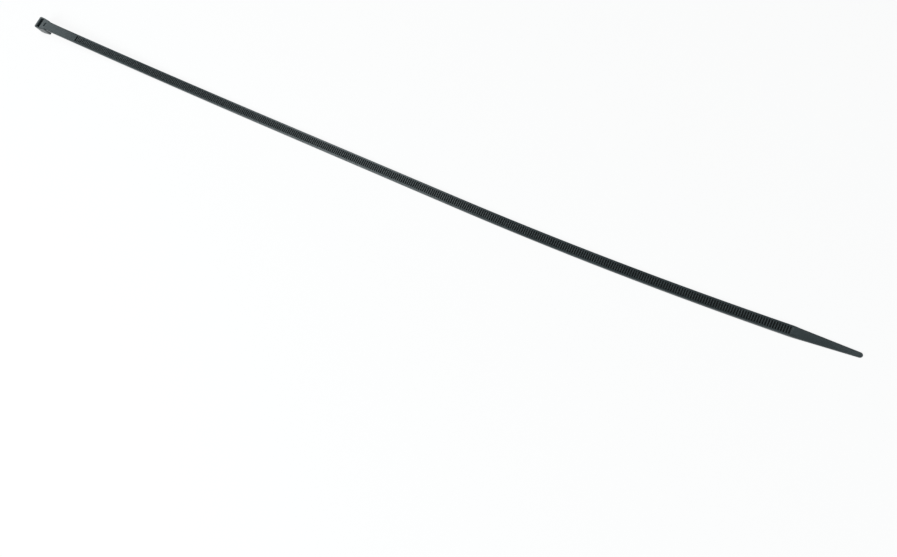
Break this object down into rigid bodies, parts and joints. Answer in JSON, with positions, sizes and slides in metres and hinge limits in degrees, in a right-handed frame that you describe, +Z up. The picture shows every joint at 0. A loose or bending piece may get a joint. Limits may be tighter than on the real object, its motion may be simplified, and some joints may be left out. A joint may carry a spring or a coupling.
{
  "type": "cable tie",
  "caption": "One-piece black nylon cable tie lying flat, teeth up: ratchet head with pawl, long toothed strap with side rails that sweeps gently to one side, and a plain tapered tongue.",
  "frame": {"origin": "middle of the passage through the head, on the plane that the tie rests on", "axes": "+X along the strap from the head to the tip, +Z up out of the toothed face, so the tail enters the head along -Z"},
  "size_m": [0.4298, 0.0118, 0.0052],
  "materials": {
    "black_nylon": "satin"
  },
  "bodies": {
    "root": {"cable_tie": "black_nylon"}
  },
  "joints": []
}
